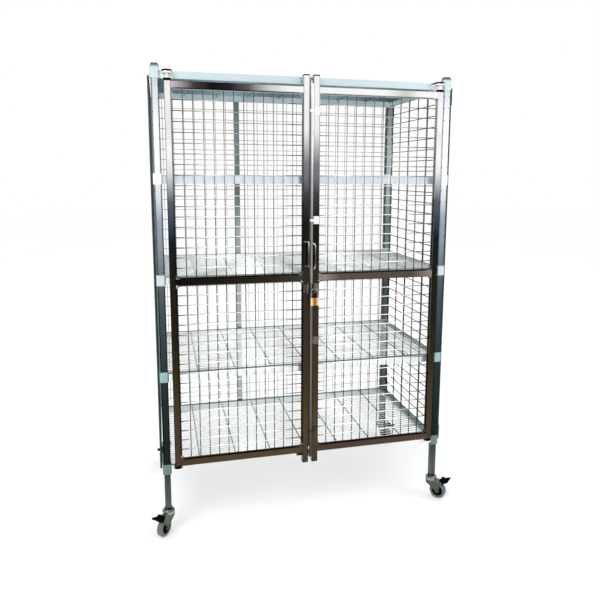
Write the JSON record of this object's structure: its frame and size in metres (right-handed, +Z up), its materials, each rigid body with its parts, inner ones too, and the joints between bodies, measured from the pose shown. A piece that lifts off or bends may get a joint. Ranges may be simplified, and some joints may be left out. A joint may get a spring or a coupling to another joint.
{
  "type": "security roll cage container",
  "caption": "Wheeled wire-mesh storage cage with shelves, mesh side and back panels, a wire roof and two hinged mesh doors closed by a turning lock rod and padlock.",
  "frame": {"origin": "on the floor under the middle of the overall box", "axes": "+Z up, doors face -Y, +X to the viewer's right when facing the doors"},
  "size_m": [1.3611, 0.7742, 1.922],
  "materials": {
    "zinc_post": "satin anodised",
    "collar": "satin grey powder coat",
    "leg_steel": "brushed zinc plate",
    "rail_steel": "galvanised",
    "shelf_wire": "zinc-plated wire",
    "panel_wire": "zinc-plated wire",
    "door_steel": "polished stainless",
    "black_nylon": "moulded",
    "bracket_steel": "zinc plate",
    "lock_steel": "polished",
    "brass": "satin",
    "caster_zinc": "zinc plate",
    "tyre": "grey non-marking rubber",
    "hub": "moulded nylon"
  },
  "bodies": {
    "cage": {"post_front_left": "zinc_post", "post_front_right": "zinc_post", "post_rear_left": "zinc_post", "post_rear_right": "zinc_post", "legs": "leg_steel", "post_top_plugs": "black_nylon", "corner_collars": "collar", "shelf_1_rails": "rail_steel", "shelf_1_deck": "shelf_wire", "shelf_2_rails": "rail_steel", "shelf_2_deck": "shelf_wire", "shelf_3_rails": "rail_steel", "shelf_3_deck": "shelf_wire", "shelf_4_rails": "rail_steel", "shelf_4_deck": "shelf_wire", "roof_rails": "rail_steel", "roof_deck": "shelf_wire", "side_panel_left": "panel_wire", "side_panel_right": "panel_wire", "rear_panels": "panel_wire", "rear_uprights": "rail_steel", "panel_hooks": "bracket_steel", "door_brackets_top": "bracket_steel", "bracket_caps": "black_nylon", "door_brackets_bottom": "bracket_steel", "pivot_washers": "black_nylon", "rod_keepers": "bracket_steel", "stem_bushings": "black_nylon"},
    "door_left": {"door_left_frame": "door_steel", "door_left_mesh": "panel_wire", "door_left_end_fittings": "black_nylon", "door_left_pull": "lock_steel", "door_left_lug": "bracket_steel"},
    "door_right": {"door_right_frame": "door_steel", "door_right_mesh": "panel_wire", "door_right_end_fittings": "black_nylon", "door_right_strip": "door_steel", "rod_guides": "lock_steel", "door_right_lug": "bracket_steel"},
    "lock_rod": {"lock_rod": "lock_steel", "lock_handle": "lock_steel"},
    "padlock_shackle": {"padlock_shackle": "lock_steel"},
    "padlock_case": {"padlock_case": "brass"},
    "caster_front_left_swivel": {"caster_front_left_fork": "caster_zinc"},
    "caster_front_left_wheel": {"caster_front_left_tyre": "tyre", "caster_front_left_hub": "hub"},
    "caster_front_left_brake": {"caster_front_left_pedal": "black_nylon"},
    "caster_front_right_swivel": {"caster_front_right_fork": "caster_zinc"},
    "caster_front_right_wheel": {"caster_front_right_tyre": "tyre", "caster_front_right_hub": "hub"},
    "caster_front_right_brake": {"caster_front_right_pedal": "black_nylon"},
    "caster_rear_left_swivel": {"caster_rear_left_fork": "caster_zinc"},
    "caster_rear_left_wheel": {"caster_rear_left_tyre": "tyre", "caster_rear_left_hub": "hub"},
    "caster_rear_left_brake": {"caster_rear_left_pedal": "black_nylon"},
    "caster_rear_right_swivel": {"caster_rear_right_fork": "caster_zinc"},
    "caster_rear_right_wheel": {"caster_rear_right_tyre": "tyre", "caster_rear_right_hub": "hub"},
    "caster_rear_right_brake": {"caster_rear_right_pedal": "black_nylon"}
  },
  "joints": [
    {"name": "door_left_hinge", "type": "hinge", "parent": "cage", "child": "door_left", "pos_m": [-0.566, -0.3362, 1.082], "axis": [0, 0, -1], "range_deg": [0, 180]},
    {"name": "door_right_hinge", "type": "hinge", "parent": "cage", "child": "door_right", "pos_m": [0.556, -0.3362, 1.082], "axis": [0, 0, 1], "range_deg": [0, 180]},
    {"name": "lock_rod_turn", "type": "hinge", "parent": "door_right", "child": "lock_rod", "pos_m": [-0.005, -0.3567, 1.082], "axis": [0, 0, -1], "range_deg": [0, 90]},
    {"name": "padlock_swing", "type": "hinge", "parent": "door_right", "child": "padlock_shackle", "pos_m": [0.0045, -0.3737, 1.039], "axis": [-1, 0, 0], "range_deg": [0, 30]},
    {"name": "padlock_release", "type": "slide", "parent": "padlock_shackle", "child": "padlock_case", "axis": [0, 0, -1], "range_m": [0, 0.012]},
    {"name": "caster_front_left_swivel", "type": "hinge", "parent": "cage", "child": "caster_front_left_swivel", "pos_m": [-0.611, -0.3017, 0.095], "axis": [0, 0, 1], "continuous": true},
    {"name": "caster_front_left_wheel", "type": "hinge", "parent": "caster_front_left_swivel", "child": "caster_front_left_wheel", "pos_m": [-0.63098, -0.32921, 0.0375], "axis": [0.809, -0.5878, 0], "continuous": true},
    {"name": "caster_front_left_brake", "type": "hinge", "parent": "caster_front_left_swivel", "child": "caster_front_left_brake", "pos_m": [-0.64039, -0.34215, 0.08], "axis": [0.809, -0.5878, 0], "range_deg": [0, 15]},
    {"name": "caster_front_right_swivel", "type": "hinge", "parent": "cage", "child": "caster_front_right_swivel", "pos_m": [0.601, -0.3017, 0.095], "axis": [0, 0, 1], "continuous": true},
    {"name": "caster_front_right_wheel", "type": "hinge", "parent": "caster_front_right_swivel", "child": "caster_front_right_wheel", "pos_m": [0.62546, -0.32532, 0.0375], "axis": [0.6947, 0.7193, 0], "continuous": true},
    {"name": "caster_front_right_brake", "type": "hinge", "parent": "caster_front_right_swivel", "child": "caster_front_right_brake", "pos_m": [0.63697, -0.33643, 0.08], "axis": [0.6947, 0.7193, 0], "range_deg": [0, 15]},
    {"name": "caster_rear_left_swivel", "type": "hinge", "parent": "cage", "child": "caster_rear_left_swivel", "pos_m": [-0.611, 0.3603, 0.095], "axis": [0, 0, 1], "continuous": true},
    {"name": "caster_rear_left_wheel", "type": "hinge", "parent": "caster_rear_left_swivel", "child": "caster_rear_left_wheel", "pos_m": [-0.62151, 0.32796, 0.0375], "axis": [0.9511, -0.309, 0], "continuous": true},
    {"name": "caster_rear_left_brake", "type": "hinge", "parent": "caster_rear_left_swivel", "child": "caster_rear_left_brake", "pos_m": [-0.62645, 0.31275, 0.08], "axis": [0.9511, -0.309, 0], "range_deg": [0, 15]},
    {"name": "caster_rear_right_swivel", "type": "hinge", "parent": "cage", "child": "caster_rear_right_swivel", "pos_m": [0.601, 0.3603, 0.095], "axis": [0, 0, 1], "continuous": true},
    {"name": "caster_rear_right_wheel", "type": "hinge", "parent": "caster_rear_right_swivel", "child": "caster_rear_right_wheel", "pos_m": [0.61483, 0.32924, 0.0375], "axis": [0.9135, 0.4067, 0], "continuous": true},
    {"name": "caster_rear_right_brake", "type": "hinge", "parent": "caster_rear_right_swivel", "child": "caster_rear_right_brake", "pos_m": [0.62134, 0.31462, 0.08], "axis": [0.9135, 0.4067, 0], "range_deg": [0, 15]}
  ]
}
